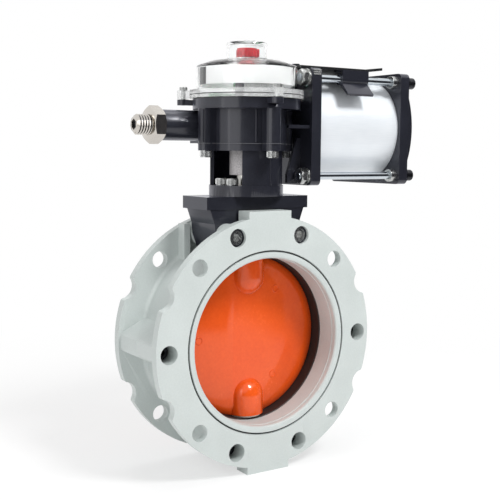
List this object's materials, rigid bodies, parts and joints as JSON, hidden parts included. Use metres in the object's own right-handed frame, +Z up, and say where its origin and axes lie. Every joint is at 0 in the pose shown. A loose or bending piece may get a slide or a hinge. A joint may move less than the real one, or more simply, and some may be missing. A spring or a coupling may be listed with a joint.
{
  "type": "pneumatic butterfly valve",
  "caption": "Wafer butterfly valve with a bolted two-half body, turned a quarter by a pneumatic rack and pinion cylinder with a clear switch box.",
  "frame": {"origin": "centre of the front flange's bolt circle, on the face that meets the pipe", "axes": "+Y along the pipe into the valve, +Z up the stem, +X along the cylinder"},
  "size_m": [0.291, 0.1392, 0.3811],
  "materials": {
    "painted_casting": "satin powder coat on die-cast aluminium",
    "orange_enamel": "gloss orange enamel on cast iron",
    "seat_rubber": "moulded rubber",
    "seal_rubber": "moulded rubber",
    "stem_steel": "turned steel",
    "zinc_steel": "zinc plated steel",
    "nickel_steel": "nickel plated steel",
    "black_steel": "blackened steel",
    "bronze": "sintered bronze",
    "black_polymer": "glass filled polyamide, moulded",
    "black_paint": "satin black coat on steel sheet",
    "bearing_polymer": "natural acetal",
    "barrel_aluminium": "drawn and anodised",
    "coupling_steel": "cast and bead blasted",
    "clear_polymer": "clear polycarbonate",
    "white_card": "white plastic strip",
    "red_polymer": "red polyamide",
    "blue_polymer": "blue acetal",
    "green_polymer": "green polyamide"
  },
  "bodies": {
    "valve_body": {"body_front": "painted_casting", "body_rear": "painted_casting", "seat_ring": "seat_rubber", "upper_bush": "bronze", "lower_bush": "bronze", "body_screws": "black_steel", "bracket_screws": "zinc_steel", "column": "black_polymer", "column_bush": "bronze", "column_base_screws": "zinc_steel", "column_top_screws": "zinc_steel", "gear_housing": "black_polymer", "pinion_bush_lower": "bearing_polymer", "pinion_bush_upper": "bearing_polymer", "rack_bush": "bearing_polymer", "rack_seal": "seal_rubber", "barrel": "barrel_aluminium", "barrel_seals": "seal_rubber", "rear_head": "black_polymer", "tie_rods": "zinc_steel", "rod_collars": "zinc_steel", "rod_nuts": "zinc_steel", "rod_washers": "zinc_steel", "rear_screws": "black_steel", "stop_screw": "nickel_steel", "stop_nut": "nickel_steel", "top_bracket": "black_paint", "top_bracket_screws": "zinc_steel", "rod_clip": "black_polymer", "switch_base": "black_polymer", "base_gasket": "seal_rubber", "base_screws": "zinc_steel", "clear_cover": "clear_polymer", "cover_screws": "zinc_steel", "scale_card": "white_card", "lower_sensor": "black_polymer", "upper_sensor": "black_polymer", "sensor_bracket": "zinc_steel", "terminal_block": "green_polymer"},
    "stem_and_disc": {"disc": "orange_enamel", "upper_stem": "stem_steel", "lower_stem": "stem_steel", "stem_pins": "stem_steel", "stem_seals": "seal_rubber", "thrust_washers": "zinc_steel", "coupling": "coupling_steel", "pinion": "stem_steel", "indicator_shaft": "stem_steel", "lower_cam": "blue_polymer", "upper_cam": "green_polymer", "red_knob": "red_polymer"},
    "rack_and_piston": {"rack": "stem_steel", "piston": "bearing_polymer", "piston_seal": "seal_rubber", "piston_wear_ring": "bearing_polymer", "piston_screw": "zinc_steel"}
  },
  "joints": [
    {"name": "stem_turn", "type": "hinge", "parent": "valve_body", "child": "stem_and_disc", "pos_m": [0, 0.04, 0], "axis": [0, 0, 1], "range_deg": [0, 90]},
    {"name": "piston_slide", "type": "slide", "parent": "valve_body", "child": "rack_and_piston", "axis": [1, 0, 0], "range_m": [-0.0285, 0]}
  ],
  "couplings": [
    {"joint": "piston_slide", "follows": "stem_turn", "m_per_rad": -0.018}
  ]
}
